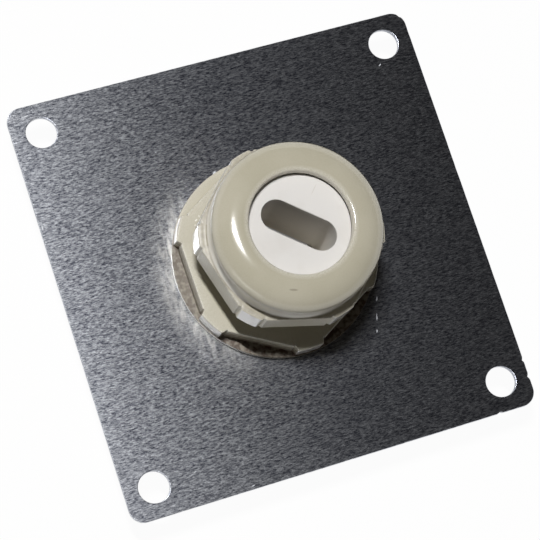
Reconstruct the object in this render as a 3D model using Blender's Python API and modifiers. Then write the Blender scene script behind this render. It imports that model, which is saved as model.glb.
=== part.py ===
# Cable feed-through: a plastic cable gland clamped in a square aluminium plate.
# Metres, +Z up. The gland's axis is Z, the plate's sides lie along X and Y, and
# the whole stands on the end of the gland's entry thread at z = 0.

from math import acos, cos, pi, radians, sin, sqrt

import bmesh
import bpy
from mathutils import Matrix, Vector

# General
fit_gap = 0.0003
round_steps = 64
weld_distance = 0.000001

# Mounting plate
plate_side = 0.085
plate_thickness = 0.001
plate_corner_radius = 0.003
screw_hole_diameter = 0.0062
screw_hole_inset = 0.006

# Sealing insert and its slot for a flat cable
insert_diameter = 0.0202
insert_edge_round = 0.0004
slot_length = 0.0151
slot_width = 0.006
slot_turn = radians(-40.3)

# Gland body: threads, seat and clamping fingers
thread_wall = 0.00375
thread_chamfer = 0.0008
thread_relief = 0.0009
entry_thread_length = 0.011
upper_thread_length = 0.0116
seat_width = 0.0012
seat_thickness = 0.002
passage_wall = 0.0033
mouth_chamfer = 0.0005
finger_count = 14
finger_length = 0.0079
finger_wall = 0.0016
finger_chamfer = 0.0006
finger_slot_width = 0.0009
finger_slot_lean = radians(16)

# Gland body: flange and hexagon
flange_thickness = 0.001
flange_overhang = 0.0023
body_turn = radians(0.8)
body_wall = 0.00385
body_hex_height = 0.0041
body_pad_reach = 0.00215
body_pad_width = 0.0052
body_groove_width = 0.0007
body_groove_depth = 0.0003

# Flange gasket
gasket_margin = 0.0006
gasket_width = 0.0026
gasket_thickness = 0.001

# Dome nut
nut_turn = radians(15.9)
nut_standoff = 0.00735
nut_wall = 0.00225
nut_hex_height = 0.0064
nut_thread_length = 0.0052
nut_pad_reach = 0.0014
nut_pad_width = 0.004
nut_groove_width = 0.001
nut_groove_depth = 0.00045
collar_step = 0.0002
collar_waist = 0.00045
collar_height = 0.00485
collar_foot = 0.0003
dome_width = 0.0048
dome_rise = 0.0035
opening_lap = 0.0002
opening_round = 0.0006
opening_crease = 0.00006
lip_thickness = 0.0015
insert_recess = 0.0022
clamp_gap = 0.0004

# Lock nut behind the plate
lock_nut_turn = radians(8)
lock_nut_wall = 0.00355
lock_nut_thickness = 0.006
lock_nut_chamfer = radians(30)

# Edges
moulded_edge = 0.00015
flange_edge = 0.0002
plate_edge = 0.00006

# Radii, worked outwards from the insert
insert_radius = insert_diameter / 2
cavity_radius = insert_radius + fit_gap
seat_radius = cavity_radius - seat_width
finger_radius = cavity_radius + finger_wall
thread_radius = cavity_radius + thread_wall
passage_radius = thread_radius - passage_wall
thread_hole_radius = thread_radius + fit_gap
gasket_inner_radius = thread_radius + gasket_margin
gasket_outer_radius = gasket_inner_radius + gasket_width
body_apothem = thread_radius + body_wall
flange_radius = body_apothem + flange_overhang
nut_apothem = thread_hole_radius + nut_wall
collar_radius = nut_apothem - collar_step
opening_radius = insert_radius - opening_lap
lock_nut_apothem = thread_hole_radius + lock_nut_wall

# Heights, worked upwards from the end of the entry thread
flange_bottom = entry_thread_length
plate_top = flange_bottom - fit_gap
plate_bottom = plate_top - plate_thickness
lock_nut_top = plate_bottom - fit_gap
lock_nut_bottom = lock_nut_top - lock_nut_thickness
flange_top = flange_bottom + flange_thickness
body_hex_top = flange_top + body_hex_height
upper_thread_top = body_hex_top + upper_thread_length
finger_tip = upper_thread_top + finger_length
nut_bottom = body_hex_top + nut_standoff
nut_hex_top = nut_bottom + nut_hex_height
dome_edge = nut_hex_top + collar_height
crown = dome_edge + dome_rise
lip_bottom = crown - lip_thickness
insert_top = crown - insert_recess
seat_top = body_hex_top + seat_thickness


def clear_scene():
    for item in list(bpy.data.objects):
        bpy.data.objects.remove(item, do_unlink=True)


def new_collection(name):
    collection = bpy.data.collections.new(name)
    bpy.context.scene.collection.children.link(collection)
    return collection


def new_material(name, colour, roughness, metallic=0.0):
    material = bpy.data.materials.new(name)
    material.use_nodes = True
    shader = material.node_tree.nodes["Principled BSDF"]
    shader.inputs["Base Color"].default_value = (*colour, 1.0)
    shader.inputs["Roughness"].default_value = roughness
    shader.inputs["Metallic"].default_value = metallic
    return material


def place(item, collection):
    for holder in list(item.users_collection):
        holder.objects.unlink(item)
    collection.objects.link(item)
    if collection is cutters:
        item.hide_render = True
        item.display_type = "WIRE"
    return item


def polar(radius, angle):
    return Vector((radius * cos(angle), radius * sin(angle)))


def arc(centre, radii, start, end, steps):
    """Points on an elliptical arc in the (radius, height) plane."""
    angles = [start + (end - start) * step / steps for step in range(steps + 1)]
    return [(centre[0] + radii[0] * cos(a), centre[1] + radii[1] * sin(a)) for a in angles]


def turned(name, profile, collection):
    """A solid turned about Z from (radius, height) points, axis to axis, top to bottom."""
    mesh = bpy.data.meshes.new(name)
    verts = [(radius, 0.0, height) for radius, height in profile]
    mesh.from_pydata(verts, [(i, i + 1) for i in range(len(verts) - 1)], [])
    item = place(bpy.data.objects.new(name, mesh), collection)
    screw = item.modifiers.new("Turn", "SCREW")
    screw.axis = "Z"
    screw.angle = 2 * pi
    screw.steps = round_steps
    screw.render_steps = round_steps
    screw.use_merge_vertices = True
    screw.merge_threshold = 0.00001
    return item


def extruded(name, outlines, bottom, top, collection, rim=0.0):
    """A prism between two heights from closed outlines; inner ones become holes.

    A rim above zero is the width of the bevel round both faces.
    """
    curve = bpy.data.curves.new(name, "CURVE")
    curve.dimensions = "2D"
    curve.fill_mode = "BOTH"
    curve.extrude = (top - bottom) / 2
    for outline in outlines:
        spline = curve.splines.new("POLY")
        spline.points.add(len(outline) - 1)
        for point, (x, y) in zip(spline.points, outline):
            point.co = (x, y, 0.0, 1.0)
        spline.use_cyclic_u = True
    guide = place(bpy.data.objects.new(name, curve), collection)
    guide.location.z = (bottom + top) / 2
    graph = bpy.context.evaluated_depsgraph_get()
    mesh = bpy.data.meshes.new_from_object(guide.evaluated_get(graph), depsgraph=graph)
    shape = bmesh.new()
    shape.from_mesh(mesh)
    bmesh.ops.remove_doubles(shape, verts=shape.verts, dist=weld_distance)
    bmesh.ops.dissolve_limit(shape, angle_limit=radians(1), verts=shape.verts, edges=shape.edges)
    if rim > 0.0:
        rims = [edge for edge in shape.edges if edge.calc_face_angle(0.0) > radians(60)
                and abs(edge.verts[0].co.z - edge.verts[1].co.z) < rim / 10]
        bmesh.ops.bevel(shape, geom=rims, offset=rim, segments=1, profile=0.5, affect="EDGES")
    shape.to_mesh(mesh)
    shape.free()
    bpy.data.objects.remove(guide, do_unlink=True)
    item = place(bpy.data.objects.new(name, mesh), collection)
    item.location.z = (bottom + top) / 2
    return item


def boxes(name, size, transforms, collection):
    """One object of equal boxes, each placed by its own matrix."""
    mesh = bpy.data.meshes.new(name)
    shape = bmesh.new()
    for transform in transforms:
        bmesh.ops.create_cube(shape, size=1.0, matrix=transform @ Matrix.Diagonal((*size, 1.0)))
    shape.to_mesh(mesh)
    shape.free()
    return place(bpy.data.objects.new(name, mesh), collection)


def combine(item, other, operation):
    modifier = item.modifiers.new(operation.title(), "BOOLEAN")
    modifier.operation = operation
    modifier.object = other
    modifier.solver = "EXACT"


def finish(item, material):
    """Settles the modifiers into the mesh, shades it and gives it its material."""
    graph = bpy.context.evaluated_depsgraph_get()
    mesh = bpy.data.meshes.new_from_object(item.evaluated_get(graph), depsgraph=graph)
    shape = bmesh.new()
    shape.from_mesh(mesh)
    bmesh.ops.remove_doubles(shape, verts=shape.verts, dist=weld_distance)
    shape.to_mesh(mesh)
    shape.free()
    item.modifiers.clear()
    item.data = mesh
    mesh.name = item.name
    mesh.materials.clear()
    mesh.materials.append(material)
    mesh.shade_smooth()
    mesh.set_sharp_from_angle(angle=radians(28))


def rounded_square(side, radius, steps=6):
    """A square outline about the origin with round corners."""
    reach = side / 2 - radius
    points = []
    for quarter in range(4):
        corner = Matrix.Rotation(quarter * pi / 2, 2) @ Vector((reach, reach))
        for step in range(steps + 1):
            points.append(corner + polar(radius, (quarter + step / steps) * pi / 2))
    return points


def circle(radius, steps, centre=(0.0, 0.0)):
    return [Vector(centre) + polar(radius, 2 * pi * step / steps) for step in range(steps)]


def stadium(length, width, turn, steps=12):
    """A slot outline with round ends, its long side turned from X."""
    points = []
    for end in (0, 1):
        centre = Vector(((length - width) / 2, 0.0)) * (1 - 2 * end)
        for step in range(steps + 1):
            points.append(centre + polar(width / 2, end * pi - pi / 2 + pi * step / steps))
    return [Matrix.Rotation(turn, 2) @ point for point in points]


def padded_hexagon(apothem, pad_radius, pad_width, groove_width, groove_depth, turn):
    """A hexagon with a round pad on each corner and a V groove on each side of it.

    Around a corner, x runs out along the corner and y along the tangent, so the flat
    beside it is the line x cos 30 + y sin 30 = apothem.
    """
    half = pad_width / 2

    def flat_x(y):
        return (apothem - y * sin(pi / 6)) / cos(pi / 6)

    side = [Vector((flat_x(half + groove_width), half + groove_width))]
    side.append(Vector((flat_x(half + groove_width / 2) - groove_depth, half + groove_width / 2)))
    pad_half_angle = acos(sqrt(pad_radius ** 2 - half ** 2) / pad_radius)
    pad = [polar(pad_radius, pad_half_angle * step / 2) for step in range(-2, 3)]
    corner = [Vector((point.x, -point.y)) for point in side] + pad + side[::-1]
    points = []
    for index in range(6):
        spin = Matrix.Rotation(turn + pi / 6 + index * pi / 3, 2)
        points += [spin @ point for point in corner]
    return points


def mounting_plate():
    hole_reach = plate_side / 2 - screw_hole_inset
    outlines = [rounded_square(plate_side, plate_corner_radius)]
    outlines.append(circle(thread_hole_radius, round_steps))
    for x in (-hole_reach, hole_reach):
        for y in (-hole_reach, hole_reach):
            outlines.append(circle(screw_hole_diameter / 2, 32, (x, y)))
    plate = extruded("mounting_plate", outlines, plate_bottom, plate_top, parts, plate_edge)
    finish(plate, aluminium)


def gland_body():
    hexagon = padded_hexagon(body_apothem, body_apothem + body_pad_reach, body_pad_width,
                             body_groove_width, body_groove_depth, body_turn)
    body = extruded("gland_body", [hexagon], flange_bottom + flange_thickness / 2, body_hex_top,
                    parts, moulded_edge)
    combine(body, body_turning(), "UNION")
    combine(body, body_bore(), "DIFFERENCE")
    combine(body, gasket_seat(), "DIFFERENCE")
    combine(body, finger_slots(), "DIFFERENCE")
    finish(body, grey_plastic)


def body_turning():
    """Fingers, upper thread, flange and entry thread, as one turned solid."""
    neck = thread_radius - thread_relief
    profile = [
        (0.0, finger_tip),
        (finger_radius - finger_chamfer, finger_tip),
        (finger_radius, finger_tip - 2 * finger_chamfer),
        (finger_radius, upper_thread_top),
        (thread_radius - thread_chamfer, upper_thread_top),
        (thread_radius, upper_thread_top - thread_chamfer),
        (thread_radius, flange_top),
        (flange_radius - flange_edge, flange_top),
        (flange_radius, flange_top - flange_edge),
        (flange_radius, flange_bottom + flange_edge),
        (flange_radius - flange_edge, flange_bottom),
        (neck, flange_bottom),
        (neck, flange_bottom - thread_relief),
        (thread_radius, flange_bottom - 2 * thread_relief),
        (thread_radius, thread_chamfer),
        (thread_radius - thread_chamfer, 0.0),
        (0.0, 0.0),
    ]
    return turned("body_turning", profile, cutters)


def body_bore():
    """The passage for the cable, the seat ring and the cavity that holds the insert."""
    seat_slope = passage_radius - seat_radius
    profile = [
        (0.0, crown),
        (cavity_radius, crown),
        (cavity_radius, seat_top),
        (seat_radius, seat_top),
        (seat_radius, body_hex_top),
        (passage_radius, body_hex_top - seat_slope),
        (passage_radius, mouth_chamfer),
        (passage_radius + 2 * mouth_chamfer, -mouth_chamfer),
        (0.0, -mouth_chamfer),
    ]
    return turned("body_bore", profile, cutters)


def gasket_seat():
    outlines = [circle(gasket_outer_radius + fit_gap, round_steps)]
    outlines.append(circle(gasket_inner_radius - fit_gap, round_steps))
    ceiling = flange_bottom + gasket_thickness + fit_gap
    return extruded("gasket_seat", outlines, flange_bottom - fit_gap, ceiling, cutters)


def finger_slots():
    """Leaning saw cuts that part the clamping fingers, down to the thread's end."""
    depth = 2 * finger_wall
    height = finger_length + thread_chamfer
    middle = Vector((cavity_radius + finger_wall / 2, 0.0, upper_thread_top + height / 2))
    cut = Matrix.Translation(middle) @ Matrix.Rotation(finger_slot_lean, 4, "X")
    spins = [Matrix.Rotation(2 * pi * index / finger_count, 4, "Z") for index in range(finger_count)]
    return boxes("finger_slots", (depth, finger_slot_width, height), [spin @ cut for spin in spins],
                 cutters)


def flange_gasket():
    outlines = [circle(gasket_outer_radius, round_steps), circle(gasket_inner_radius, round_steps)]
    top = flange_bottom + gasket_thickness
    gasket = extruded("flange_gasket", outlines, flange_bottom, top, parts, moulded_edge)
    finish(gasket, black_rubber)


def dome_nut():
    hexagon = padded_hexagon(nut_apothem, nut_apothem + nut_pad_reach, nut_pad_width,
                             nut_groove_width, nut_groove_depth, nut_turn)
    nut = extruded("dome_nut", [hexagon], nut_bottom, nut_hex_top, parts, moulded_edge)
    combine(nut, dome_turning(), "UNION")
    combine(nut, nut_bore(), "DIFFERENCE")
    finish(nut, grey_plastic)


def dome_turning():
    """Collar with its hollow waist, round shoulder and flat crown, still closed on top."""
    shoulder = arc((collar_radius - dome_width, dome_edge), (dome_width, dome_rise), pi / 2, 0.0, 9)
    foot = nut_hex_top + collar_foot
    waist = []
    for step in range(1, 7):
        share = step / 6
        hollow = collar_waist * sin(pi * share)
        waist.append((collar_radius - hollow, dome_edge + (foot - dome_edge) * share))
    profile = [(0.0, crown)] + shoulder + waist
    profile += [(collar_radius, nut_bottom + nut_hex_height / 2), (0.0, nut_bottom + nut_hex_height / 2)]
    return turned("dome_turning", profile, cutters)


def nut_bore():
    """Thread bore, the cone that closes the fingers, and the opening with its round edge."""
    cone_bottom = nut_bottom + nut_thread_length
    finger_corner = finger_tip - 2 * finger_chamfer
    corner_radius = finger_radius + clamp_gap
    slope = (thread_hole_radius - corner_radius) / (finger_corner - cone_bottom)
    cone_top_radius = corner_radius - slope * (lip_bottom - finger_corner)
    flare = opening_radius + opening_round
    centre = (flare, crown - opening_round + opening_crease)
    edge = arc(centre, (opening_round, opening_round), pi / 2, pi, 4)
    profile = [(0.0, crown + lip_thickness), (flare, crown + lip_thickness)] + edge
    profile += [
        (opening_radius, lip_bottom),
        (cone_top_radius, lip_bottom),
        (thread_hole_radius, cone_bottom),
        (thread_hole_radius, nut_bottom + mouth_chamfer),
        (thread_hole_radius + 2 * mouth_chamfer, nut_bottom - mouth_chamfer),
        (0.0, nut_bottom - mouth_chamfer),
    ]
    return turned("nut_bore", profile, cutters)


def sealing_insert():
    """The soft plug that the fingers squeeze, with a through slot for a flat cable."""
    bottom = seat_top + fit_gap
    corner = (insert_radius - insert_edge_round, insert_top - insert_edge_round)
    rounding = arc(corner, (insert_edge_round, insert_edge_round), pi / 2, 0.0, 3)
    profile = [(0.0, insert_top)] + rounding
    profile += [(insert_radius, bottom + insert_edge_round), (insert_radius - insert_edge_round, bottom)]
    profile += [(0.0, bottom)]
    insert = turned("sealing_insert", profile, parts)
    slot = extruded("cable_slot", [stadium(slot_length, slot_width, slot_turn)],
                    bottom - seat_thickness, crown, cutters)
    combine(insert, slot, "DIFFERENCE")
    finish(insert, white_rubber)


def lock_nut():
    """A plain hexagonal nut with its corners turned down on both faces."""
    corner = lock_nut_apothem / cos(pi / 6)
    drop = (corner - lock_nut_apothem) * sin(lock_nut_chamfer) / cos(lock_nut_chamfer)
    hexagon = [polar(corner, lock_nut_turn + pi / 6 + index * pi / 3) for index in range(6)]
    nut = extruded("lock_nut", [hexagon], lock_nut_bottom, lock_nut_top, parts)
    blank = [
        (0.0, lock_nut_top + fit_gap),
        (lock_nut_apothem - fit_gap * 2, lock_nut_top + fit_gap),
        (corner, lock_nut_top - drop),
        (corner, lock_nut_bottom + drop),
        (lock_nut_apothem - fit_gap * 2, lock_nut_bottom - fit_gap),
        (0.0, lock_nut_bottom - fit_gap),
    ]
    combine(nut, turned("lock_nut_blank", blank, cutters), "INTERSECT")
    bore = [
        (0.0, lock_nut_top + mouth_chamfer),
        (thread_hole_radius + 2 * mouth_chamfer, lock_nut_top + mouth_chamfer),
        (thread_hole_radius, lock_nut_top - mouth_chamfer),
        (thread_hole_radius, lock_nut_bottom + mouth_chamfer),
        (thread_hole_radius + 2 * mouth_chamfer, lock_nut_bottom - mouth_chamfer),
        (0.0, lock_nut_bottom - mouth_chamfer),
    ]
    combine(nut, turned("lock_nut_bore", bore, cutters), "DIFFERENCE")
    finish(nut, grey_plastic)


clear_scene()
parts = new_collection("cable_feed_through")
cutters = new_collection("cutters")

aluminium = new_material("rolled_aluminium", (0.22, 0.23, 0.25), 0.35, 1.0)
grey_plastic = new_material("pebble_grey_polyamide", (0.48, 0.44, 0.33), 0.32)
white_rubber = new_material("white_sealing_rubber", (0.78, 0.76, 0.74), 0.6)
black_rubber = new_material("black_gasket_rubber", (0.02, 0.02, 0.02), 0.7)

mounting_plate()
gland_body()
flange_gasket()
dome_nut()
sealing_insert()
lock_nut()
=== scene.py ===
# Cable feed-through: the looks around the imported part, in metres, in the part's own frame.
# Each piece is a numpy surface that stands for one CAD node and keeps that node's sizes.

import bpy
import numpy as np
from mathutils import Matrix, Vector
from mathutils.geometry import tessellate_polygon


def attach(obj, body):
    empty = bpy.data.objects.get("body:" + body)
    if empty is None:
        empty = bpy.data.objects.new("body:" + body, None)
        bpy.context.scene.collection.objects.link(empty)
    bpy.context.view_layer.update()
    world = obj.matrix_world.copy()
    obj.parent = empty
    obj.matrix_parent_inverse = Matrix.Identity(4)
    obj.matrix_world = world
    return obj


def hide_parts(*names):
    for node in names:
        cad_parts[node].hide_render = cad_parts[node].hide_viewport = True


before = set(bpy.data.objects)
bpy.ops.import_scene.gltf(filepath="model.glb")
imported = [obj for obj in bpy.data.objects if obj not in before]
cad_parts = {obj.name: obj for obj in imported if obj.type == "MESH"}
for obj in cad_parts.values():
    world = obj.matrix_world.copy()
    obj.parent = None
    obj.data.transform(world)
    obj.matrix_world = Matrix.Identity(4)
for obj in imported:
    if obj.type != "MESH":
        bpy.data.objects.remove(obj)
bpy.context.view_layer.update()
print("frame loaded:", sorted(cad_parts))

mm = 0.001
turnFull = 2 * np.pi


def linearColour(code):
    # sRGB hex text to the linear values that a shader reads
    channels = np.array([int(code[i:i + 2], 16) for i in (1, 3, 5)]) / 255
    linear = np.where(channels <= 0.04045, channels / 12.92, ((channels + 0.055) / 1.055) ** 2.4)
    return (*linear.tolist(), 1.0)


def addNode(tree, kind, settings=None, inputs=None):
    # one node with its settings, its socket values and the links into it
    node = tree.nodes.new(kind)
    for name, value in (settings or {}).items():
        setattr(node, name, value)
    for name, value in (inputs or {}).items():
        if isinstance(value, bpy.types.NodeSocket):
            tree.links.new(value, node.inputs[name])
        else:
            node.inputs[name].default_value = value
    return node


def newMaterial(name):
    material = bpy.data.materials.new(name)
    material.use_nodes = True
    material.node_tree.nodes.clear()
    return material, material.node_tree


def closeMaterial(tree, shader):
    addNode(tree, "ShaderNodeOutputMaterial", inputs={"Surface": shader.outputs[0]})


def ranged(tree, value, span, low=0.0, high=1.0):
    # draws the span of a value out to run from low to high, and clamps it there
    return addNode(tree, "ShaderNodeMapRange", inputs={
        "Value": value, "From Min": span[0], "From Max": span[1], "To Min": low, "To Max": high}).outputs[0]


def stretchedSpace(tree, coords, sizeMm, turn=0.0):
    # coordinates for a noise whose marks have this length and width, turned about Z
    length, width = sizeMm[0] * mm, sizeMm[1] * mm
    return addNode(tree, "ShaderNodeMapping", inputs={
        "Vector": coords, "Rotation": (0.0, 0.0, turn),
        "Scale": (1 / length, 1 / width, 1 / width)}).outputs[0]


# Single marks on a surface: each is an ellipse x, y, turn, length, width in mm and radians, full
# strength in its middle half and nothing past its edge.
def markMask(tree, coords, marks):
    total = 0.0
    for x, y, turn, length, width in marks:
        centred = addNode(tree, "ShaderNodeMapping", {"vector_type": "TEXTURE"}, {
            "Vector": coords, "Location": (x * mm, y * mm, 0.0), "Rotation": (0.0, 0.0, turn),
            "Scale": (length / 2 * mm, width / 2 * mm, 1.0)}).outputs[0]
        away = addNode(tree, "ShaderNodeVectorMath", {"operation": "LENGTH"}, {0: centred}).outputs["Value"]
        inside = ranged(tree, away, (1.0, 0.5))
        total = addNode(tree, "ShaderNodeMath", {"operation": "MAXIMUM"}, {0: inside, 1: total}).outputs[0]
    return total


# Moulded polyamide, pebble grey: an even, slightly warm grey. The eye sees a glossy dome where the mould
# was polished, satin faces where it was not and faint orange peel. A brown darkening on the ledges is
# partly grime and partly painted shade, and one wall of the body is darker brown towards its foot.
# Corner pads are painted pale as a painted highlight, the collar band and the opening less so as painted
# light, and proud edges are pale partly from rubbing wear and partly as a painted edge highlight. Each
# range says where a noise begins to show and where it shows in full.
polyamide = {
    "colour": "#BEB8A4",
    "mottled": "#B8B29D",
    # the next colour paints rubbing wear, and also the painted highlight on pads and painted light on the
    # collar band and opening
    "wornAndLit": "#EFECE5",
    "edgeShare": 0.5,
    # this brown is real grime and smudges, and also paints shade on the ledges
    "grime": "#4A3728",
    "smudgeShare": 0.35,
    "glossy": 0.12,
    "satin": 0.38,
    "ior": 1.53,
    "mottleMm": 9.0,
    "mottleRange": (0.36, 0.64),
    "mottleRoughness": 0.03,
    "peelMm": 0.9,
    "peelDepthMm": 0.006,
    "reliefStrength": 0.6,
    "smearRange": (0.36, 0.62),
    "smearLeast": 0.66,
    "grainMm": 0.16,
    "grainHeight": 0.16,
    "edgePatchRange": (0.3, 0.6),
    "wornAndLitShare": 0.95,
    "scuffMm": (3.5, 0.12),
    "scuffTurn": 0.9,
    "scuffRange": (0.7, 0.8),
    "scuffShare": 0.4,
    "scuffHeight": -0.5,
}


def polyamideMaterial(name, look, rubs, smudges):
    material, tree = newMaterial(name)
    coords = addNode(tree, "ShaderNodeTexCoord").outputs["Object"]
    mottle = addNode(tree, "ShaderNodeTexNoise", inputs={
        "Vector": coords, "Scale": 1 / (look["mottleMm"] * mm), "Detail": 2.0}).outputs["Fac"]
    peel = addNode(tree, "ShaderNodeTexNoise", inputs={
        "Vector": coords, "Scale": 1 / (look["peelMm"] * mm), "Detail": 1.0}).outputs["Fac"]
    grain = addNode(tree, "ShaderNodeTexNoise", inputs={
        "Vector": coords, "Scale": 1 / (look["grainMm"] * mm), "Detail": 2.0}).outputs["Fac"]
    stretched = stretchedSpace(tree, coords, look["scuffMm"], look["scuffTurn"])
    scuffNoise = addNode(tree, "ShaderNodeTexNoise", inputs={
        "Vector": stretched, "Scale": 1.0, "Detail": 2.0, "Distortion": 0.4}).outputs["Fac"]
    scuff = ranged(tree, scuffNoise, look["scuffRange"])
    # edge pales proud edges for rubbing wear and as a painted edge highlight; pad is a painted highlight on
    # corner pads and painted light on the collar band and opening
    edge = addNode(tree, "ShaderNodeAttribute", {"attribute_name": "edge"}).outputs["Fac"]
    pad = addNode(tree, "ShaderNodeAttribute", {"attribute_name": "pad"}).outputs["Fac"]
    # the grime attribute holds grime together with painted shade on the ledges
    hollow = addNode(tree, "ShaderNodeAttribute", {"attribute_name": "grime"}).outputs["Fac"]
    satin = addNode(tree, "ShaderNodeAttribute", {"attribute_name": "satin"}).outputs["Fac"]
    edgePatch = ranged(tree, grain, look["edgePatchRange"])
    edgePatchShare = addNode(tree, "ShaderNodeMath", {"operation": "MULTIPLY"}, {
        0: edgePatch, 1: look["edgeShare"]}).outputs[0]
    paleEdge = addNode(tree, "ShaderNodeMath", {"operation": "MULTIPLY"}, {
        0: edge, 1: edgePatchShare}).outputs[0]
    wearAndHighlight = addNode(tree, "ShaderNodeMath", {"operation": "MAXIMUM"}, {0: paleEdge, 1: pad}).outputs[0]
    onSatin = addNode(tree, "ShaderNodeMath", {"operation": "MULTIPLY"}, {0: scuff, 1: satin}).outputs[0]
    paledByWearAndLight = addNode(tree, "ShaderNodeMath", {"operation": "MAXIMUM"}, {
        0: markMask(tree, coords, rubs), 1: wearAndHighlight}).outputs[0]
    paleness = addNode(tree, "ShaderNodeMath", {"operation": "MULTIPLY_ADD", "use_clamp": True}, {
        0: onSatin, 1: look["scuffShare"], 2: paledByWearAndLight}).outputs[0]
    pale = addNode(tree, "ShaderNodeMath", {"operation": "MULTIPLY"}, {
        0: paleness, 1: look["wornAndLitShare"]}).outputs[0]
    blotch = ranged(tree, mottle, look["mottleRange"])
    tone = addNode(tree, "ShaderNodeMix", {"data_type": "RGBA"}, {
        0: blotch, 6: linearColour(look["colour"]), 7: linearColour(look["mottled"])}).outputs[2]
    clean = addNode(tree, "ShaderNodeMix", {"data_type": "RGBA"}, {
        0: pale, 6: tone, 7: linearColour(look["wornAndLit"])}).outputs[2]
    smear = ranged(tree, peel, look["smearRange"], look["smearLeast"])
    # grime and painted shade, broken up by the peel noise
    darkening = addNode(tree, "ShaderNodeMath", {"operation": "MULTIPLY"}, {0: hollow, 1: smear}).outputs[0]
    smudge = addNode(tree, "ShaderNodeMath", {"operation": "MULTIPLY"}, {
        0: markMask(tree, coords, smudges), 1: look["smudgeShare"]}).outputs[0]
    darkened = addNode(tree, "ShaderNodeMath", {"operation": "MAXIMUM"}, {0: smudge, 1: darkening}).outputs[0]
    colour = addNode(tree, "ShaderNodeMix", {"data_type": "RGBA"}, {
        0: darkened, 6: clean, 7: linearColour(look["grime"])}).outputs[2]
    finish = ranged(tree, satin, (0.0, 1.0), look["glossy"], look["satin"])
    rough = addNode(tree, "ShaderNodeMath", {"operation": "MULTIPLY_ADD"}, {
        0: blotch, 1: look["mottleRoughness"], 2: finish}).outputs[0]
    height = addNode(tree, "ShaderNodeMath", {"operation": "MULTIPLY_ADD"}, {
        0: grain, 1: look["grainHeight"], 2: peel}).outputs[0]
    scored = addNode(tree, "ShaderNodeMath", {"operation": "MULTIPLY_ADD"}, {
        0: onSatin, 1: look["scuffHeight"], 2: height}).outputs[0]
    relief = addNode(tree, "ShaderNodeBump", inputs={
        "Strength": look["reliefStrength"], "Distance": look["peelDepthMm"] * mm,
        "Height": scored}).outputs[0]
    shader = addNode(tree, "ShaderNodeBsdfPrincipled", inputs={
        "Base Color": colour, "Roughness": rough, "IOR": look["ior"], "Normal": relief})
    closeMaterial(tree, shader)
    return material


# Moulded white sealing rubber: matt and almost even, with a fine bloom, a little grime and one
# hairline scratch beside the slot. The slot's wall is painted paler and warmer, as painted light in
# the slot.
rubberWhite = {
    "colour": "#E3E0DC",
    "grimy": "#D2CDC5",
    "slotPaintedLight": "#FFF9EE",
    "roughness": 0.58,
    "ior": 1.48,
    "bloomMm": 6.0,
    "bloomRange": (0.3, 0.7),
    "bloomRoughness": 0.1,
    "grimeRange": (0.5, 0.85),
    "grimeShare": 0.5,
    "grainMm": 0.14,
    "grainDepthMm": 0.008,
    "reliefStrength": 0.6,
    "hairline": [(4.9, 5.8, 0.82, 2.9, 0.2)],
    "hairlineShare": 0.8,
    "hairlineHeight": -2.0,
}


def whiteRubberMaterial(look):
    material, tree = newMaterial("moulded white rubber")
    coords = addNode(tree, "ShaderNodeTexCoord").outputs["Object"]
    bloom = addNode(tree, "ShaderNodeTexNoise", inputs={
        "Vector": coords, "Scale": 1 / (look["bloomMm"] * mm), "Detail": 4.0}).outputs["Fac"]
    grain = addNode(tree, "ShaderNodeTexNoise", inputs={
        "Vector": coords, "Scale": 1 / (look["grainMm"] * mm), "Detail": 2.0}).outputs["Fac"]
    scratch = markMask(tree, coords, look["hairline"])
    inner = addNode(tree, "ShaderNodeAttribute", {"attribute_name": "inner"}).outputs["Fac"]
    grime = ranged(tree, bloom, look["grimeRange"], 0.0, look["grimeShare"])
    dirt = addNode(tree, "ShaderNodeMath", {"operation": "MULTIPLY_ADD", "use_clamp": True}, {
        0: scratch, 1: look["hairlineShare"], 2: grime}).outputs[0]
    # the slot's wall takes a paler, warmer colour: painted light in the slot
    clean = addNode(tree, "ShaderNodeMix", {"data_type": "RGBA"}, {
        0: inner, 6: linearColour(look["colour"]), 7: linearColour(look["slotPaintedLight"])}).outputs[2]
    colour = addNode(tree, "ShaderNodeMix", {"data_type": "RGBA"}, {
        0: dirt, 6: clean, 7: linearColour(look["grimy"])}).outputs[2]
    rough = ranged(tree, bloom, look["bloomRange"], look["roughness"],
                   look["roughness"] + look["bloomRoughness"])
    height = addNode(tree, "ShaderNodeMath", {"operation": "MULTIPLY_ADD"}, {
        0: scratch, 1: look["hairlineHeight"], 2: grain}).outputs[0]
    relief = addNode(tree, "ShaderNodeBump", inputs={
        "Strength": look["reliefStrength"], "Distance": look["grainDepthMm"] * mm,
        "Height": height}).outputs[0]
    shader = addNode(tree, "ShaderNodeBsdfPrincipled", inputs={
        "Base Color": colour, "Roughness": rough, "IOR": look["ior"], "Normal": relief})
    closeMaterial(tree, shader)
    return material


# Black nitrile gasket: dull, soft black with a fine talc grain.
rubberBlack = {
    "colour": "#1C1B1A",
    "dusty": "#3A3835",
    "dustRange": (0.5, 0.8),
    "roughness": 0.65,
    "ior": 1.5,
    "grainMm": 0.25,
    "grainDepthMm": 0.01,
    "reliefStrength": 0.5,
}


def blackRubberMaterial(look):
    material, tree = newMaterial("black nitrile rubber")
    coords = addNode(tree, "ShaderNodeTexCoord").outputs["Object"]
    grain = addNode(tree, "ShaderNodeTexNoise", inputs={
        "Vector": coords, "Scale": 1 / (look["grainMm"] * mm), "Detail": 3.0}).outputs["Fac"]
    dust = ranged(tree, grain, look["dustRange"])
    colour = addNode(tree, "ShaderNodeMix", {"data_type": "RGBA"}, {
        0: dust, 6: linearColour(look["colour"]), 7: linearColour(look["dusty"])}).outputs[2]
    relief = addNode(tree, "ShaderNodeBump", inputs={
        "Strength": look["reliefStrength"], "Distance": look["grainDepthMm"] * mm,
        "Height": grain}).outputs[0]
    shader = addNode(tree, "ShaderNodeBsdfPrincipled", inputs={
        "Base Color": colour, "Roughness": look["roughness"], "IOR": look["ior"], "Normal": relief})
    closeMaterial(tree, shader)
    return material
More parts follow.
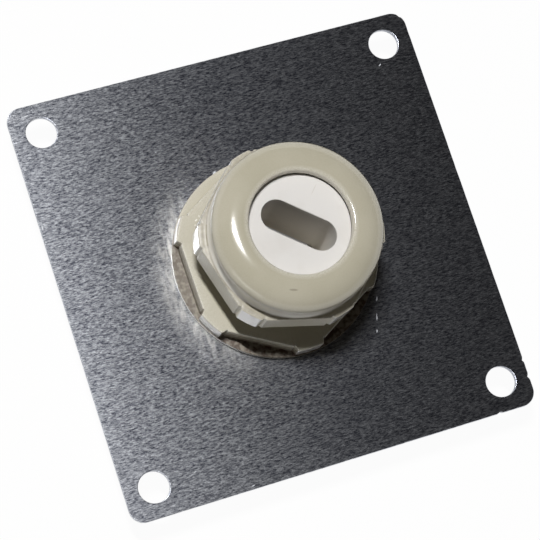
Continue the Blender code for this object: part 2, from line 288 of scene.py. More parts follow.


# Rolled aluminium sheet, mill finish: a fine broken grain along X, drawn about 0.2 mm wide so that it
# shows at this size. The grain spreads highlights across it, so the sheet darkens evenly along X. The
# colour is painted darker, with quieter grain, away from the lit -X side: painted shade. On the lit
# side a painted reflection lies in pale wisps beside the flange, and takes part of the metal's sheen.
sheetLook = {
    "colour": "#E0E3E8",
    "stained": "#525668",
    "roughness": 0.354,
    "roughSpread": (0.055, 0.065),
    "anisotropy": 0.73,
    "grainMm": (0.75, 0.2),
    "grainRange": (0.33, 0.69),
    "grainDepthMm": 0.012,
    "reliefStrength": 0.8,
    "shadedSideShare": 0.8,
    "litSideMm": (-5, 25),
    "streakMm": (9.0, 0.5),
    "streakHeight": 0.8,
    "scratchMm": (9.0, 0.12),
    "scratchTurn": 1.1,
    "scratchRange": (0.79, 0.85),
    "scratchHeight": -0.4,
    # the pale colour of the painted reflection beside the flange
    "bloom": "#F4F3F0",
    "paintedReflectionShare": 0.95,
    "paintedReflectionDullness": 0.6,
    "paintedReflectionReachMm": (20.0, 26.0),
    "lightSide": (-0.998, -0.07, 0.0),
    "paintedReflectionFacingMm": (8, 19),
    "wispMm": (1.3, 4.0),
    "wispRange": (0.38, 0.62),
    "wispLeast": 0.1,
    "dents": [(17.6, -13.6, 1.25, 1.4, 0.36), (16.4, -17.1, 1.25, 1.9, 0.34),
              (15.5, -19.8, 1.25, 0.9, 0.34), (-5.9, 19.6, 0.9, 1.4, 0.8),
              (-15.9, 26.8, 0.0, 0.6, 0.25), (34.3, 32.5, 0.6, 0.9, 0.3),
              (-38.5, 40.5, 0.2, 1.8, 0.4), (-42.0, 18.0, 1.5, 1.6, 0.4), (-28.0, -36.0, 0.1, 0.8, 0.3),
              (-18.0, -41.8, 0.1, 0.9, 0.3), (17.5, 16.0, 1.3, 0.8, 0.25)],
}


def aluminiumMaterial(look):
    material, tree = newMaterial("rolled aluminium sheet")
    coords = addNode(tree, "ShaderNodeTexCoord").outputs["Object"]
    grainSpace = stretchedSpace(tree, coords, look["grainMm"])
    grain = addNode(tree, "ShaderNodeTexNoise", inputs={
        "Vector": grainSpace, "Scale": 1.0, "Detail": 4.0, "Roughness": 0.7}).outputs["Fac"]
    streakSpace = stretchedSpace(tree, coords, look["streakMm"])
    streak = addNode(tree, "ShaderNodeTexNoise", inputs={
        "Vector": streakSpace, "Scale": 1.0, "Detail": 3.0}).outputs["Fac"]
    scratchSpace = stretchedSpace(tree, coords, look["scratchMm"], look["scratchTurn"])
    scratchNoise = addNode(tree, "ShaderNodeTexNoise", inputs={
        "Vector": scratchSpace, "Scale": 1.0, "Detail": 1.0, "Distortion": 0.6}).outputs["Fac"]
    scratch = ranged(tree, scratchNoise, look["scratchRange"])
    flatPlace = addNode(tree, "ShaderNodeVectorMath", {"operation": "MULTIPLY"}, {
        0: coords, 1: (1.0, 1.0, 0.0)}).outputs[0]
    towards = addNode(tree, "ShaderNodeVectorMath", {"operation": "DOT_PRODUCT"}, {
        0: flatPlace, 1: look["lightSide"]}).outputs["Value"]
    tone = ranged(tree, grain, look["grainRange"])
    litSideFrom, litSideTo = look["litSideMm"]
    # grain in full on the lit -X side and scaled down away from it, which paints the sheet darker there:
    # painted shade
    paintedSideLight = ranged(tree, towards, (litSideFrom * mm, litSideTo * mm), look["shadedSideShare"])
    shown = addNode(tree, "ShaderNodeMath", {"operation": "MULTIPLY"}, {0: tone, 1: paintedSideLight}).outputs[0]
    dent = markMask(tree, coords, look["dents"])
    bare = addNode(tree, "ShaderNodeMath", {"operation": "MAXIMUM"}, {0: shown, 1: dent}).outputs[0]
    rolled = addNode(tree, "ShaderNodeMix", {"data_type": "RGBA"}, {
        0: bare, 6: linearColour(look["stained"]), 7: linearColour(look["colour"])}).outputs[2]
    reach = addNode(tree, "ShaderNodeVectorMath", {"operation": "LENGTH"}, {0: flatPlace}).outputs["Value"]
    near = addNode(tree, "ShaderNodeMapRange", {"interpolation_type": "SMOOTHSTEP"}, {
        "Value": reach, "From Min": look["paintedReflectionReachMm"][1] * mm,
        "From Max": look["paintedReflectionReachMm"][0] * mm}).outputs[0]
    facing = addNode(tree, "ShaderNodeMapRange", {"interpolation_type": "SMOOTHSTEP"}, {
        "Value": towards, "From Min": look["paintedReflectionFacingMm"][0] * mm,
        "From Max": look["paintedReflectionFacingMm"][1] * mm}).outputs[0]
    wispAcross, wispAlong = look["wispMm"]
    wispSpace = addNode(tree, "ShaderNodeMapping", inputs={
        "Vector": coords, "Scale": (1 / (wispAcross * mm), 1 / (wispAlong * mm), 1.0)}).outputs[0]
    wisp = addNode(tree, "ShaderNodeTexNoise", inputs={
        "Vector": wispSpace, "Scale": 1.0, "Detail": 4.0, "Roughness": 0.65,
        "Distortion": 0.5}).outputs["Fac"]
    smear = ranged(tree, wisp, look["wispRange"], look["wispLeast"])
    # pale wisps beside the flange on the lit side: a painted reflection, which also lowers the metallic
    paintedReflectionNear = addNode(tree, "ShaderNodeMath", {"operation": "MULTIPLY"}, {0: near, 1: facing}).outputs[0]
    bloom = addNode(tree, "ShaderNodeMath", {"operation": "MULTIPLY"}, {0: paintedReflectionNear, 1: smear}).outputs[0]
    paintedReflectionShare = addNode(tree, "ShaderNodeMath", {"operation": "MULTIPLY"}, {
        0: bloom, 1: look["paintedReflectionShare"]}).outputs[0]
    colour = addNode(tree, "ShaderNodeMix", {"data_type": "RGBA"}, {
        0: paintedReflectionShare, 6: rolled, 7: linearColour(look["bloom"])}).outputs[2]
    dull = addNode(tree, "ShaderNodeMath", {"operation": "MULTIPLY_ADD"}, {
        0: paintedReflectionShare, 1: look["paintedReflectionDullness"], 2: dent}).outputs[0]
    sheen = addNode(tree, "ShaderNodeMath", {"operation": "SUBTRACT", "use_clamp": True}, {
        0: 1.0, 1: dull}).outputs[0]
    below, above = look["roughSpread"]
    rough = ranged(tree, shown, (0.0, 1.0), look["roughness"] - below, look["roughness"] + above)
    height = addNode(tree, "ShaderNodeMath", {"operation": "MULTIPLY_ADD"}, {
        0: streak, 1: look["streakHeight"], 2: grain}).outputs[0]
    scored = addNode(tree, "ShaderNodeMath", {"operation": "MULTIPLY_ADD"}, {
        0: scratch, 1: look["scratchHeight"], 2: height}).outputs[0]
    relief = addNode(tree, "ShaderNodeBump", inputs={
        "Strength": look["reliefStrength"], "Distance": look["grainDepthMm"] * mm,
        "Height": scored}).outputs[0]
    grainWay = addNode(tree, "ShaderNodeTangent", {"direction_type": "UV_MAP", "uv_map": "sheet"})
    shader = addNode(tree, "ShaderNodeBsdfPrincipled", inputs={
        "Base Color": colour, "Roughness": rough, "Metallic": sheen, "Anisotropic": look["anisotropy"],
        "Tangent": grainWay.outputs[0], "Normal": relief})
    closeMaterial(tree, shader)
    return material


def addPiece(name, mesh, material, node):
    mesh.materials.append(material)
    piece = bpy.data.objects.new(name, mesh)
    bpy.context.scene.collection.objects.link(piece)
    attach(piece, "root")
    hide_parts(node)
    print("piece", name, len(mesh.polygons), "faces")
    return piece


# Plastic is fully paled, partly as rubbing wear and partly as a painted edge highlight, where a vertex
# stands proud of its neighbours by fullEdge of the way to them.
# A vertex is on a wall or a thread when it lies within slack mm of it, and on a corner pad when it
# lies within padMargin mm of the pad's furthest reach from Z.
fullEdge = 0.16
slack = 0.02
padMargin = 0.15


# A closed grid of quads, joined up in both directions. Each vertex normal is the sum of the cross
# products of the quads round it, so wide flat faces outweigh narrow roundings. "edge" is how far a
# vertex stands proud of its neighbours, and tells the material where plastic is paled, for rubbing
# wear and as a painted edge highlight.
def gridMesh(name, points, marks):
    rows, columns = points.shape[:2]
    row, column = np.meshgrid(np.arange(rows), np.arange(columns), indexing="ij")
    below, beside = (row + 1) % rows, (column + 1) % columns
    quads = np.stack([row * columns + column, row * columns + beside,
                      below * columns + beside, below * columns + column], -1).reshape(-1, 4)
    flat = points.reshape(-1, 3)
    diagonals = np.cross(flat[quads[:, 2]] - flat[quads[:, 0]], flat[quads[:, 3]] - flat[quads[:, 1]])
    volume = (flat[quads].mean(1) * diagonals).sum()
    if volume < 0:
        quads, diagonals = quads[:, ::-1], -diagonals
    area = diagonals.reshape(rows, columns, 3)
    normals = area + np.roll(area, 1, 0) + np.roll(area, 1, 1) + np.roll(area, (1, 1), (0, 1))
    normals /= np.linalg.norm(normals, axis=2, keepdims=True)
    proud = np.zeros((rows, columns))
    for axis in (0, 1):
        arms = np.stack([np.roll(points, 1, axis) - points, np.roll(points, -1, axis) - points])
        arms /= np.linalg.norm(arms, axis=3, keepdims=True)
        proud = np.maximum(proud, -(arms.sum(0) * normals).sum(2) / 2)
    mesh = bpy.data.meshes.new(name)
    mesh.from_pydata(flat.tolist(), [], quads.tolist())
    mesh.shade_smooth()
    mesh.normals_split_custom_set_from_vertices(normals.reshape(-1, 3).tolist())
    for label, values in {"edge": proud / fullEdge, **marks}.items():
        mark = mesh.attributes.new(label, "FLOAT", "POINT")
        mark.data.foreach_set("value", np.clip(values, 0, 1).astype(np.float32).ravel())
    return mesh


# Rounds each corner P of a closed profile with (1 - u)^2 A + 2 u (1 - u) P + u^2 B, where A and B lie
# the corner's cut away from P along its two sides, but never past mostOfSide of a side. A corner is
# radius, height and cut, and where sweptRing needs them also share and drop. Points nearer to each
# other than weldMm are merged.
def roundedProfile(corners, steps=3):
    mostOfSide, weldMm = 0.48, 1e-4
    corners = np.array([[*corner, 0.0, 0.0][:5] for corner in corners])
    point, cut = corners[:, [0, 1, 3, 4]], corners[:, 2:3]
    before, after = np.roll(point, 1, 0) - point, np.roll(point, -1, 0) - point
    reachBefore = np.linalg.norm(before[:, :2], axis=1, keepdims=True)
    reachAfter = np.linalg.norm(after[:, :2], axis=1, keepdims=True)
    start = point + before * np.minimum(cut / reachBefore, mostOfSide)
    end = point + after * np.minimum(cut / reachAfter, mostOfSide)
    u = np.linspace(0, 1, steps + 1)[None, :, None]
    curve = (1 - u) ** 2 * start[:, None] + 2 * u * (1 - u) * point[:, None] + u ** 2 * end[:, None]
    curve = curve.reshape(-1, 4)
    apart = np.linalg.norm(curve[:, :2] - np.roll(curve[:, :2], 1, 0), axis=1)
    return curve[apart > weldMm] * [mm, mm, 1, 1]


# A ring-shaped solid. A profile row says distance from Z = radius + share * bulge and
# height = height - drop * bulge, where bulge is how far the outline at a column's angle stands past
# its smallest radius.
def sweptRing(profile, bulge):
    radius, height, share, drop = (profile[:, i:i + 1] for i in range(4))
    return radius + share * bulge[None, :], height - drop * bulge[None, :]


def aroundZ(reach, level, angle):
    return np.stack([reach * np.cos(angle), reach * np.sin(angle), level + 0 * reach], -1)


# The outline of a hexagon with a round pad on each corner and a V groove on each side of the pad.
# x(t) is its distance out along the corner at t to the side of it: sqrt(R^2 - t^2) on the pad, two
# straight lines down and up the groove, and (apothem - t sin 30) / cos 30 on the flat. Averaging
# x over a short stretch of t rounds its corners.
def hexOutline(shape):
    half, groove, apothem = shape["padWidth"] / 2, shape["grooveWidth"], shape["apothem"]
    lean = np.pi / 6

    def flatReach(t):
        return (apothem - t * np.sin(lean)) / np.cos(lean)

    def reach(t):
        t = np.abs(t)
        pad = np.sqrt(shape["padRadius"] ** 2 - np.minimum(t, half) ** 2)
        knots = [half, half + groove / 2, half + groove]
        lowest = flatReach(knots[1]) - shape["grooveDepth"]
        groovePath = np.interp(t, knots, [np.sqrt(shape["padRadius"] ** 2 - half ** 2), lowest,
                                          flatReach(knots[2])])
        return np.where(t < half, pad, np.where(t < half + groove, groovePath, flatReach(t)))

    margin, middle = 0.25, apothem * np.sin(lean)
    nearEdge = (max(half - margin, 0), half + groove + margin)
    side = np.unique(np.concatenate([np.linspace(0, nearEdge[0], 5), np.linspace(*nearEdge, 21),
                                     np.linspace(nearEdge[1], middle, 9)]))
    across = np.concatenate([-side[:0:-1], side[:-1]])
    offsets = np.linspace(-1, 1, 7) * shape["edgeRound"]
    along = reach(across[:, None] + offsets[None, :]).mean(1)
    corners = np.radians(shape["turn"]) + lean + np.arange(6) * turnFull / 6
    angle = (corners[:, None] + np.arctan2(across, along)[None, :]).ravel()
    bulge = np.tile(np.hypot(along, across) - apothem, 6) * mm
    return angle, bulge


# A screw thread cut into a turned surface: at height z and angle a its depth follows the folded
# ramp of z / pitch - a / 2 pi, flattened at crest and root, and fades out at both ends.
def threadDepth(level, angle, thread):
    steepness, rootShare = 1.5, 0.25
    phase = (level / (thread["pitch"] * mm) - angle[None, :] / turnFull) % 1.0
    vee = np.clip(steepness * np.abs(2 * phase - 1) - rootShare, 0, 1)
    fade = np.minimum(level - thread["bottom"] * mm, thread["top"] * mm - level) / (thread["runOut"] * mm)
    return thread["depth"] * mm * vee * np.clip(fade, 0, 1)


domeNut = {
    "hexagon": {"apothem": 16.7, "padRadius": 18.1, "padWidth": 4.0, "grooveWidth": 1.0,
                "grooveDepth": 0.45, "turn": 15.9, "edgeRound": 0.07},
    "bottom": 23.45,
    "hexTop": 29.85,
    "collar": 16.5,
    "collarFoot": 16.5,
    "collarInset": 0.02,
    "waist": 0.6,
    "waistSkew": 0.8,
    "waistFoot": 29.95,
    "domeEdge": 34.7,
    "crown": 38.2,
    "shoulder": (5.4, 3.5),
    "opening": 9.9,
    "openingRound": 0.9,
    "lip": 36.7,
    "coneTop": 11.58,
    "coneCorner": (12.4, 34.4),
    "coneBottom": 28.65,
    "bore": 14.45,
    "boreChamfer": 0.5,
    "wallBulge": 0.98,
    "thread": {"pitch": 1.588, "depth": 0.55, "bottom": 23.9, "top": 28.6, "runOut": 0.8},
    "threadRows": (28.4, 24.2, 25),
    "paintedLightCollar": {"middle": 32.3, "half": 2.4, "inner": 15.5, "share": 0.7},
    "paintedLightOpening": 0.4,
    "ledgeGrimeAndShade": (0.27, 0.15),
    "smudges": [(-5.5, -11.85, -0.32, 2.0, 0.5)],
}


# The dome nut: hexagon, hollow-waisted collar, elliptical shoulder r = c + a sin v, z = e + b cos v,
# flat crown, rolled opening edge, and inside it the lip, the closing cone and the threaded bore. The
# collar's hollow is waist * sin(pi s^waistSkew) deep at share s of its height. The pads are painted
# pale as a painted highlight, and the collar band and the opening as painted light, less so. The
# ledge's brown darkening, partly grime and partly painted shade, is least towards +X.
def makeDomeNut(size, material):
    apothem, collar = size["hexagon"]["apothem"], size["collar"]
    a, b = size["shoulder"]
    litBand, inset, chamfer = size["paintedLightCollar"], size["collarInset"], size["boreChamfer"]
    waist = np.linspace(0, 1, 9)[1:-1]
    shoulder = np.linspace(np.pi / 2, 0, 26)
    corners = [(size["bore"] + chamfer, size["bottom"], 0.15), (apothem, size["bottom"], 0.25, 1, 0),
               (apothem, size["hexTop"], 0.22, 1, 0), (size["collarFoot"], size["hexTop"], 0.3)]
    corners += [(collar - size["waist"] * np.sin(np.pi * s ** size["waistSkew"]) - inset,
                 size["waistFoot"] + (size["domeEdge"] - size["waistFoot"]) * s, 0) for s in waist]
    corners += [(collar - inset, size["domeEdge"] - 0.12, 0.08), (collar, size["domeEdge"], 0)]
    corners += [(collar - a + a * np.sin(v), size["domeEdge"] + b * np.cos(v), 0) for v in shoulder[1:]]
    corners += [(size["opening"], size["crown"], size["openingRound"]),
                (size["opening"], size["lip"], 0.1), (size["coneTop"], size["lip"], 0.1),
                (*size["coneCorner"], 0.3), (size["bore"], size["coneBottom"], 0.3)]
    corners += [(size["bore"], z, 0) for z in np.linspace(*size["threadRows"])]
    corners += [(size["bore"], size["bottom"] + chamfer, 0.1)]
    angle, bulge = hexOutline(size["hexagon"])
    reach, level = sweptRing(roundedProfile(corners), bulge)
    onThread = np.abs(reach - size["bore"] * mm) < slack * mm
    reach = reach + onThread * threadDepth(level, angle, size["thread"])
    wall = reach > (apothem - slack) * mm + size["wallBulge"] * bulge
    wall &= level < size["hexTop"] * mm
    onCollar = np.abs(level - litBand["middle"] * mm) < litBand["half"] * mm
    onCollar &= (reach < (collar + slack / 2) * mm) & (reach > litBand["inner"] * mm)
    inOpening = (reach < (size["opening"] + 0.2) * mm) & (level < (size["crown"] - 0.15) * mm)
    onPad = wall & (bulge > (size["hexagon"]["padRadius"] - apothem - padMargin) * mm)
    onLedge = np.abs(level - (size["hexTop"] + 0.05) * mm) < 0.1 * mm
    # pad: painted highlight on the pads and painted light on the collar band and opening wall; grime: grime
    # and painted shade on the ledge
    paintedLightPaleness = np.maximum(size["paintedLightOpening"] * inOpening, litBand["share"] * onCollar)
    darkMean, darkSwing = size["ledgeGrimeAndShade"]
    marks = {"pad": np.maximum(onPad, paintedLightPaleness),
             "grime": (darkMean - darkSwing * np.cos(angle)) * onLedge,
             "satin": onLedge | inOpening | (wall & ~onPad)}
    mesh = gridMesh("dome_nut_moulding", aroundZ(reach, level, angle), marks)
    return addPiece("dome_nut_moulding", mesh, material, "dome_nut")


glandBody = {
    "hexagon": {"apothem": 18.0, "padRadius": 20.15, "padWidth": 5.2, "grooveWidth": 0.7,
                "grooveDepth": 0.3, "turn": 0.8, "edgeRound": 0.07},
    "thread": 14.15,
    "threadChamfer": 0.8,
    "entryEnd": 9.2,
    "neckFoot": 10.1,
    "neckRelief": 0.9,
    "flange": 20.3,
    "flangeBottom": 11.0,
    "flangeTop": 12.0,
    "hexTop": 16.1,
    "upperEnd": 26.9,
    "upperTop": 27.7,
    "fingerTip": 35.6,
    "fingerChamfer": (0.6, 1.2),
    "fingers": (10.4, 12.0),
    "fingerCount": 14,
    "fingerSlotDegrees": 4.4,
    "fingerLeanDegrees": 9.0,
    "slotFloorShare": 0.02,
    "passage": 10.85,
    "passageTop": 14.45,
    "mouthChamfer": 0.5,
    "seat": (9.2, 16.1, 18.1),
    "gasketSeat": (14.45, 17.65, 12.3),
    "brownSide": 184,
    "brownWidth": 0.55,
    "brownLoss": 0.2,
    "grimeAndShadeArc": (-0.7, 3.0),
    "grimeAndShadeFade": (0.15, 0.4),
    "wallFootDarkening": {"top": 14.9, "fade": 1.5, "share": 0.5},
    "entryRows": (1.0, 9.0, 44),
    "upperRows": ((16.5, 23.7, 46), (23.95, 26.7, 12)),
    "entryThread": {"pitch": 1.588, "depth": 0.8, "bottom": 0.3, "top": 9.3, "runOut": 1.0},
    "upperThread": {"pitch": 1.588, "depth": 0.8, "bottom": 16.5, "top": 27.4, "runOut": 0.9},
    "rubs": [(-13.7, 10.3, 0.5, 0.8, 0.35), (-12.9, 10.9, 1.4, 0.7, 0.25), (-14.2, 9.4, 1.0, 0.5, 0.25)],
}


# The gland body: entry thread, neck, gasket seat, flange, padded hexagon, upper thread and the ring
# of clamping fingers, then down inside past the cavity, the seat ring and the passage. A finger
# slot presses the ring's height down to slotFloorShare wherever its angle is in a slot. The flange
# ledge is darkened, partly as grime and partly as painted shade, over an arc set in radians round
# from brownSide, and the wall near brownSide is darker brown towards its foot. The corner pads are
# painted pale as a painted highlight.
def makeGlandBody(size, material):
    inner, outer = size["fingers"]
    thread, hexagon = size["thread"], size["hexagon"]["apothem"]
    seat, seatBottom, seatTop = size["seat"]
    seatIn, seatOut, seatCeiling = size["gasketSeat"]
    low, top = size["flangeBottom"], size["flangeTop"]
    chamfer, neck = size["threadChamfer"], thread - size["neckRelief"]
    mouth, (tipAcross, tipDown) = size["mouthChamfer"], size["fingerChamfer"]
    corners = [(size["passage"], mouth, 0.1), (size["passage"] + mouth, 0.0, 0.08),
               (thread - chamfer, 0.0, 0.1), (thread, chamfer, 0.1)]
    corners += [(thread, z, 0) for z in np.linspace(*size["entryRows"])]
    corners += [(thread, size["entryEnd"], 0.1), (neck, size["neckFoot"], 0.15), (neck, low, 0.1),
                (seatIn, low, 0.1), (seatIn, seatCeiling, 0.1), (seatOut, seatCeiling, 0.1),
                (seatOut, low, 0.1), (size["flange"], low, 0.14), (size["flange"], top, 0.1),
                (hexagon, top, 0.12, 1, 0), (hexagon, size["hexTop"], 0.28, 1, 0),
                (thread, size["hexTop"], 0.2)]
    for rows in size["upperRows"]:
        corners += [(thread, z, 0) for z in np.linspace(*rows)]
    corners += [(thread, size["upperEnd"], 0.1), (thread - chamfer, size["upperTop"], 0.1),
                (outer, size["upperTop"], 0.1), (outer, size["fingerTip"] - tipDown, 0.2),
                (outer - tipAcross, size["fingerTip"], 0.15),
                (inner, size["fingerTip"], 0.2), (inner, size["upperTop"] + 0.5, 0.1),
                (inner, seatTop, 0.15), (seat, seatTop, 0.15), (seat, seatBottom, 0.15),
                (size["passage"], size["passageTop"], 0.2)]
    angle, bulge = hexOutline(size["hexagon"])
    reach, level = sweptRing(roundedProfile(corners), bulge)
    onThread = np.abs(reach - thread * mm) < slack * mm
    cut = threadDepth(level, angle, size["entryThread"]) + threadDepth(level, angle, size["upperThread"])
    reach = reach - onThread * cut
    floorLevel = (size["upperTop"] + 0.1) * mm
    rise = np.clip((level - floorLevel) / ((size["fingerTip"] - size["upperTop"]) * mm), 0, 1)
    spacing = turnFull / size["fingerCount"]
    lean = np.radians(size["fingerLeanDegrees"])
    place = (angle[None, :] - lean * rise + spacing / 2) % spacing - spacing / 2
    inSlot = np.abs(place) < np.radians(size["fingerSlotDegrees"]) / 2
    pressed = floorLevel + size["slotFloorShare"] * (level - floorLevel)
    level = np.where(inSlot & (level > floorLevel), pressed, level)
    wall = (np.abs(reach - hexagon * mm - bulge) < slack * mm) & (level > (top + 0.1) * mm)
    onLedge = np.abs(level - top * mm) < 0.2 * mm
    onPad = wall & (bulge > (size["hexagon"]["padRadius"] - hexagon - padMargin) * mm)
    aside = (angle[None, :] - np.radians(size["brownSide"]) + np.pi) % turnFull - np.pi
    brown = np.exp(-(aside / size["brownWidth"]) ** 2)
    arcStart, arcEnd = size["grimeAndShadeArc"]
    fadeIn, fadeOut = size["grimeAndShadeFade"]
    grimeAndShadeSide = np.clip((aside - arcStart) / fadeIn, 0, 1) * np.clip((arcEnd - aside) / fadeOut, 0, 1)
    # the ledge darkening over the arc: partly grime, partly painted shade
    ledgeGrimeAndShadeMask = onLedge * grimeAndShadeSide * (1 - size["brownLoss"] * brown)
    darkening = size["wallFootDarkening"]
    wallFootDarkening = wall * ~onPad * brown * np.clip((darkening["top"] * mm - level) / (darkening["fade"] * mm), 0, 1)
    # pad: painted highlight on the corner pads; grime: grime and painted shade on the ledge, and the wall's
    # darker foot
    marks = {"pad": onPad,
             "grime": np.maximum(ledgeGrimeAndShadeMask, darkening["share"] * wallFootDarkening),
             "satin": onLedge | (np.abs(level - size["hexTop"] * mm) < 0.05 * mm)}
    mesh = gridMesh("gland_body_moulding", aroundZ(reach, level, angle), marks)
    return addPiece("gland_body_moulding", mesh, material, "gland_body")


lockNut = {
    "hexagon": {"apothem": 18.0, "padRadius": 30.0, "padWidth": 0.0, "grooveWidth": 0.0,
                "grooveDepth": 0.0, "turn": 8.0, "edgeRound": 0.25},
    "bottom": 3.4,
    "top": 9.4,
    "bore": 14.45,
    "boreChamfer": 0.5,
    "chamferStart": 17.4,
    "chamferSlope": 0.577,
    "thread": {"pitch": 1.588, "depth": 0.55, "bottom": 3.8, "top": 9.0, "runOut": 0.5},
    "threadInset": 0.7,
    "threadRows": 30,
}


# The lock nut: a plain hexagon whose two faces fall away past a circle, so each side's rim lies
# lower by slope * bulge towards the corners.
def makeLockNut(size, material):
    apothem, slope, start = size["hexagon"]["apothem"], size["chamferSlope"], size["chamferStart"]
    bottom, top, bore = size["bottom"], size["top"], size["bore"]
    fall, chamfer, inset = (apothem - start) * slope, size["boreChamfer"], size["threadInset"]
    corners = [(bore + chamfer, bottom, 0.1), (start, bottom, 0.2),
               (apothem, bottom + fall, 0.2, 1, -slope), (apothem, top - fall, 0.2, 1, slope),
               (start, top, 0.2), (bore + chamfer, top, 0.1), (bore, top - chamfer, 0.1)]
    corners += [(bore, z, 0) for z in np.linspace(top - inset, bottom + inset, size["threadRows"])]
    corners += [(bore, bottom + chamfer, 0.1)]
    angle, bulge = hexOutline(size["hexagon"])
    reach, level = sweptRing(roundedProfile(corners), bulge)
    onThread = np.abs(reach - bore * mm) < slack * mm
    reach = reach + onThread * threadDepth(level, angle, size["thread"])
    mesh = gridMesh("lock_nut_moulding", aroundZ(reach, level, angle), {"satin": 1 + 0 * reach})
    return addPiece("lock_nut_moulding", mesh, material, "lock_nut")


flangeGasket = {"inner": 14.75, "outer": 17.35, "bottom": 11.0, "top": 12.0, "columns": 160}


# The flange gasket: a flat ring with soft corners.
def makeGasket(size, material):
    angle = np.arange(size["columns"]) / size["columns"] * turnFull
    corners = [(size["inner"], size["bottom"], 0.25), (size["outer"], size["bottom"], 0.25),
               (size["outer"], size["top"], 0.25), (size["inner"], size["top"], 0.25)]
    reach, level = sweptRing(roundedProfile(corners, 5), np.zeros(size["columns"]))
    mesh = gridMesh("flange_gasket_ring", aroundZ(reach, level, angle), {})
    return addPiece("flange_gasket_ring", mesh, material, "flange_gasket")


sealingInsert = {
    "radius": 10.1,
    "bottom": 18.4,
    "top": 36.0,
    "slot": (15.1, 6.0),
    "slotTurn": -40.3,
    "rimRound": 0.45,
    "slotRound": 0.3,
    "lowerRound": 0.08,
    "wallStop": 0.6,
    "columns": 360,
}


# The sealing insert: the slot's outline is a stadium, walked at an even pace, and the profile blends
# from it (share 1) to the round outside (share 0). The slot's wall, which is marked as inner and
# painted paler as painted light, stops wallStop below the top.
def makeInsert(size, material):
    length, width = size["slot"]
    half, a = width / 2, (length - width) / 2
    quarter = half * np.pi / 2
    knots = np.cumsum([0, quarter, 2 * a, 2 * quarter, 2 * a, quarter])
    walk = np.arange(size["columns"]) / size["columns"] * knots[-1]
    centre = np.interp(walk, knots, [a, a, -a, -a, a, a])
    heading = np.interp(walk, knots, np.array([0, 0.5, 0.5, 1.5, 1.5, 2]) * np.pi)
    x, y = centre + half * np.cos(heading), half * np.sin(heading)
    angle = np.arctan2(y, x) + np.radians(size["slotTurn"])
    bulge = (np.hypot(x, y) - half) * mm
    low, top, rim = size["bottom"], size["top"], size["rimRound"]
    corners = [(half, low, size["lowerRound"], 1, 0), (size["radius"], low, rim),
               (size["radius"], top, rim), (half, top, size["slotRound"], 1, 0)]
    reach, level = sweptRing(roundedProfile(corners, 5), bulge)
    onWall = (np.abs(reach - half * mm - bulge) < 0.05 * mm) & (level < (top - size["wallStop"]) * mm)
    mesh = gridMesh("sealing_insert_rubber", aroundZ(reach, level, angle), {"inner": onWall})
    return addPiece("sealing_insert_rubber", mesh, material, "sealing_insert")


sheet = {
    "side": 85.0,
    "cornerRadius": 3.0,
    "bottom": 9.7,
    "top": 10.7,
    "centreHole": 14.45,
    "screwHole": 3.1,
    "screwReach": 36.5,
    "steps": (880, 160, 72),
    "rim": 0.12,
    "ragged": 0.03,
    "raggedSeed": 7,
    "raggedSpread": 5,
    "nicks": [(42.5, -33.6, 0.3, 0.3), (42.5, -37.1, 0.35, 0.35), (34.3, -42.5, 0.3, 0.35),
              (41.9, 41.7, 0.25, 0.4)],
}


# A square with round corners, walked at an even pace: the middle of the corner arc in force and the
# heading from it are straight-line functions of the distance walked.
def squarePath(side, radius, count):
    reach, quarter = side / 2 - radius, radius * np.pi / 2
    knots = np.cumsum([0, reach] + [quarter, 2 * reach] * 3 + [quarter, reach])
    walk = (np.arange(count) + 0.5) / count * knots[-1]
    heading = np.interp(walk, knots, np.array([0, 0, 1, 1, 2, 2, 3, 3, 4, 4]) * np.pi / 2)
    x = np.interp(walk, knots, np.array([1, 1, 1, -1, -1, -1, -1, 1, 1, 1]) * reach)
    y = np.interp(walk, knots, np.array([0, 1, 1, 1, 1, -1, -1, -1, -1, 0]) * reach)
    return np.stack([x + radius * np.cos(heading), y + radius * np.sin(heading)], 1)


def circlePath(x, y, radius, count):
    turn = np.arange(count) / count * turnFull
    return np.stack([x + radius * np.cos(turn), y + radius * np.sin(turn)], 1)


